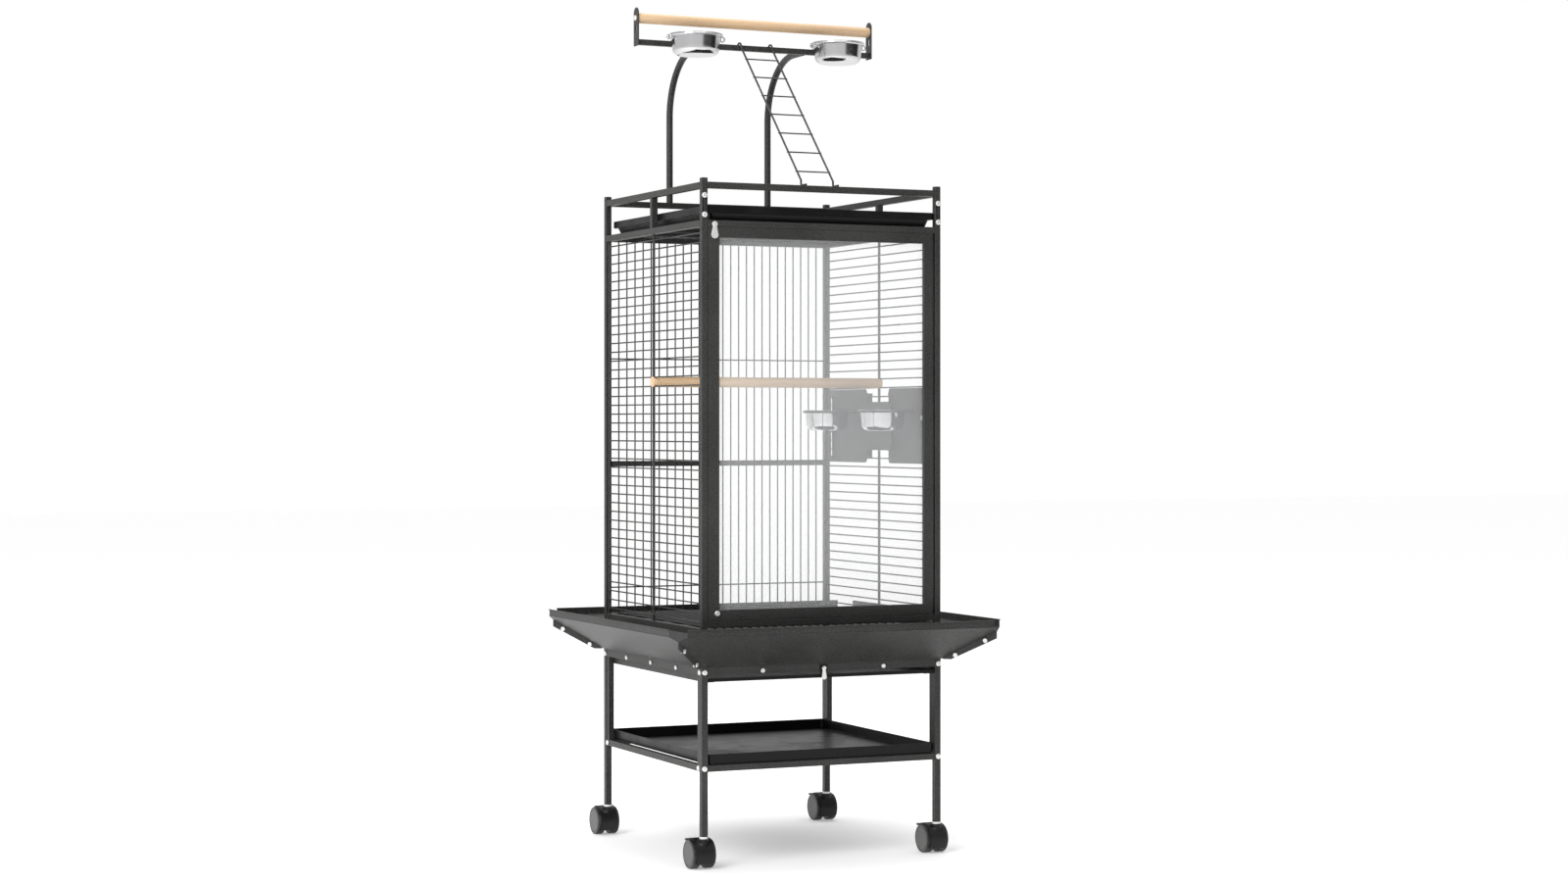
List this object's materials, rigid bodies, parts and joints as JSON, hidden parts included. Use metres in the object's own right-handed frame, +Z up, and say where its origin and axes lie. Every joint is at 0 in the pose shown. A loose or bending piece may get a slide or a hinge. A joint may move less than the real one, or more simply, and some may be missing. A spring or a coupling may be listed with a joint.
{
  "type": "bird cage on stand",
  "caption": "Square wire bird cage on a wheeled stand, with an open play top, ladder, clear hinged front door, seed skirt, slide-out trays and swing-out feeder cups.",
  "frame": {"origin": "on the floor, under the middle of the cage and of the seed skirt", "axes": "+Z up, -Y towards the front with the clear door, +X towards the side with the feeder doors (the right side seen from the front)"},
  "size_m": [0.631, 0.637, 1.503],
  "materials": {
    "frame_coat": "charcoal powder coat with a fine hammered grain, satin",
    "tray_plastic": "black moulded plastic with a fine even grain",
    "wood": "pale beech, turned and sanded, bare",
    "screw_steel": "nickel plated pan heads and caps",
    "cup_steel": "polished stainless steel",
    "pane": "clear acrylic sheet with a faint haze",
    "caster_plastic": "black nylon caster housing",
    "wheel_plastic": "dark grey nylon tread and hub"
  },
  "bodies": {
    "frame": {"legs": "frame_coat", "posts": "frame_coat", "stand_sides": "frame_coat", "shelf_rails": "frame_coat", "base_rails": "frame_coat", "tray_runners": "frame_coat", "skirt_front": "frame_coat", "skirt_back": "frame_coat", "skirt_left": "frame_coat", "skirt_right": "frame_coat", "grate": "frame_coat", "front_rails": "frame_coat", "left_panel": "frame_coat", "right_panel": "frame_coat", "back_panel": "frame_coat", "roof_grille": "frame_coat", "railing_left": "frame_coat", "railing_right": "frame_coat", "railing_back": "frame_coat", "play_uprights": "frame_coat", "crossbar": "frame_coat", "perch_straps": "frame_coat", "play_cup_rings": "cup_steel", "play_perch": "wood", "perch_screws": "screw_steel", "cage_perch": "wood", "frame_screws": "screw_steel", "skirt_screws": "screw_steel", "caster_stems": "screw_steel", "feeder_plate": "frame_coat", "door_pins": "screw_steel"},
    "door": {"door_frame": "frame_coat", "door_pane": "pane", "door_knob": "screw_steel"},
    "door_latch": {"door_latch": "screw_steel"},
    "shelf_tray": {"shelf_tray": "tray_plastic"},
    "waste_tray": {"waste_tray": "tray_plastic"},
    "tray_tab": {"tray_tab": "screw_steel"},
    "top_tray": {"top_tray": "tray_plastic"},
    "feeder_door_front": {"feeder_door_front": "frame_coat"},
    "feeder_latch_front": {"feeder_latch_front": "screw_steel"},
    "feeder_cup_front": {"feeder_cup_front": "cup_steel"},
    "feeder_door_back": {"feeder_door_back": "frame_coat"},
    "feeder_latch_back": {"feeder_latch_back": "screw_steel"},
    "feeder_cup_back": {"feeder_cup_back": "cup_steel"},
    "play_cup_left": {"play_cup_left": "cup_steel"},
    "play_cup_right": {"play_cup_right": "cup_steel"},
    "ladder": {"ladder": "frame_coat"},
    "caster_front_left": {"caster_hood_front_left": "caster_plastic"},
    "wheels_front_left": {"caster_wheels_front_left": "wheel_plastic"},
    "brake_front_left": {"brake_lever_front_left": "caster_plastic"},
    "caster_front_right": {"caster_hood_front_right": "caster_plastic"},
    "wheels_front_right": {"caster_wheels_front_right": "wheel_plastic"},
    "brake_front_right": {"brake_lever_front_right": "caster_plastic"},
    "caster_back_left": {"caster_hood_back_left": "caster_plastic"},
    "wheels_back_left": {"caster_wheels_back_left": "wheel_plastic"},
    "caster_back_right": {"caster_hood_back_right": "caster_plastic"},
    "wheels_back_right": {"caster_wheels_back_right": "wheel_plastic"},
    "brake_back_right": {"brake_lever_back_right": "caster_plastic"}
  },
  "joints": [
    {"name": "door_hinge", "type": "hinge", "parent": "frame", "child": "door", "pos_m": [0.2118, -0.226, 0.7575], "axis": [0, 0, 1], "range_deg": [0, 90]},
    {"name": "door_latch_turn", "type": "hinge", "parent": "frame", "child": "door_latch", "pos_m": [-0.205, -0.2318, 1.0973], "axis": [0, 1, 0], "range_deg": [-90, 90]},
    {"name": "shelf_tray_slide", "type": "slide", "parent": "frame", "child": "shelf_tray", "axis": [0, -1, 0], "range_m": [0, 0.25]},
    {"name": "waste_tray_slide", "type": "slide", "parent": "frame", "child": "waste_tray", "axis": [0, -1, 0], "range_m": [0, 0.4]},
    {"name": "tray_tab_turn", "type": "hinge", "parent": "waste_tray", "child": "tray_tab", "pos_m": [0, -0.2333, 0.3352], "axis": [0, 1, 0], "range_deg": [-100, 100]},
    {"name": "top_tray_slide", "type": "slide", "parent": "frame", "child": "top_tray", "axis": [0, -1, 0], "range_m": [0, 0.4]},
    {"name": "feeder_door_front_hinge", "type": "hinge", "parent": "frame", "child": "feeder_door_front", "pos_m": [0.2282, -0.046, 0.7535], "axis": [0, 0, 1], "range_deg": [0, 90]},
    {"name": "feeder_latch_front_turn", "type": "hinge", "parent": "feeder_door_front", "child": "feeder_latch_front", "pos_m": [0.2225, -0.18, 0.768], "axis": [-1, 0, 0], "range_deg": [0, 90]},
    {"name": "feeder_cup_front_lift", "type": "slide", "parent": "feeder_door_front", "child": "feeder_cup_front", "axis": [0, 0, 1], "range_m": [0, 0.05]},
    {"name": "feeder_door_back_hinge", "type": "hinge", "parent": "frame", "child": "feeder_door_back", "pos_m": [0.2282, 0.046, 0.7535], "axis": [0, 0, -1], "range_deg": [0, 90]},
    {"name": "feeder_latch_back_turn", "type": "hinge", "parent": "feeder_door_back", "child": "feeder_latch_back", "pos_m": [0.2225, 0.18, 0.768], "axis": [1, 0, 0], "range_deg": [0, 90]},
    {"name": "feeder_cup_back_lift", "type": "slide", "parent": "feeder_door_back", "child": "feeder_cup_back", "axis": [0, 0, 1], "range_m": [0, 0.05]},
    {"name": "play_cup_left_lift", "type": "slide", "parent": "frame", "child": "play_cup_left", "axis": [0, 0, 1], "range_m": [0, 0.05]},
    {"name": "play_cup_right_lift", "type": "slide", "parent": "frame", "child": "play_cup_right", "axis": [0, 0, 1], "range_m": [0, 0.05]},
    {"name": "ladder_lift", "type": "hinge", "parent": "frame", "child": "ladder", "pos_m": [0, 0.061, 1.441], "axis": [-1, 0, 0], "range_deg": [0, 60]},
    {"name": "caster_front_left_swivel", "type": "hinge", "parent": "frame", "child": "caster_front_left", "pos_m": [-0.223, -0.226, 0.045], "axis": [0, 0, 1], "continuous": true},
    {"name": "wheels_front_left_spin", "type": "hinge", "parent": "caster_front_left", "child": "wheels_front_left", "pos_m": [-0.223, -0.208, 0.025], "axis": [1, 0, 0], "continuous": true},
    {"name": "brake_front_left_press", "type": "hinge", "parent": "caster_front_left", "child": "brake_front_left", "pos_m": [-0.223, -0.1896, 0.0404], "axis": [-1, 0, 0], "range_deg": [0, 20]},
    {"name": "caster_front_right_swivel", "type": "hinge", "parent": "frame", "child": "caster_front_right", "pos_m": [0.223, -0.226, 0.045], "axis": [0, 0, 1], "continuous": true},
    {"name": "wheels_front_right_spin", "type": "hinge", "parent": "caster_front_right", "child": "wheels_front_right", "pos_m": [0.223, -0.208, 0.025], "axis": [1, 0, 0], "continuous": true},
    {"name": "brake_front_right_press", "type": "hinge", "parent": "caster_front_right", "child": "brake_front_right", "pos_m": [0.223, -0.1896, 0.0404], "axis": [-1, 0, 0], "range_deg": [0, 20]},
    {"name": "caster_back_left_swivel", "type": "hinge", "parent": "frame", "child": "caster_back_left", "pos_m": [-0.223, 0.226, 0.045], "axis": [0, 0, 1], "continuous": true},
    {"name": "wheels_back_left_spin", "type": "hinge", "parent": "caster_back_left", "child": "wheels_back_left", "pos_m": [-0.223, 0.244, 0.025], "axis": [1, 0, 0], "continuous": true},
    {"name": "caster_back_right_swivel", "type": "hinge", "parent": "frame", "child": "caster_back_right", "pos_m": [0.223, 0.226, 0.045], "axis": [0, 0, 1], "continuous": true},
    {"name": "wheels_back_right_spin", "type": "hinge", "parent": "caster_back_right", "child": "wheels_back_right", "pos_m": [0.223, 0.244, 0.025], "axis": [1, 0, 0], "continuous": true},
    {"name": "brake_back_right_press", "type": "hinge", "parent": "caster_back_right", "child": "brake_back_right", "pos_m": [0.223, 0.2624, 0.0404], "axis": [-1, 0, 0], "range_deg": [0, 20]}
  ]
}
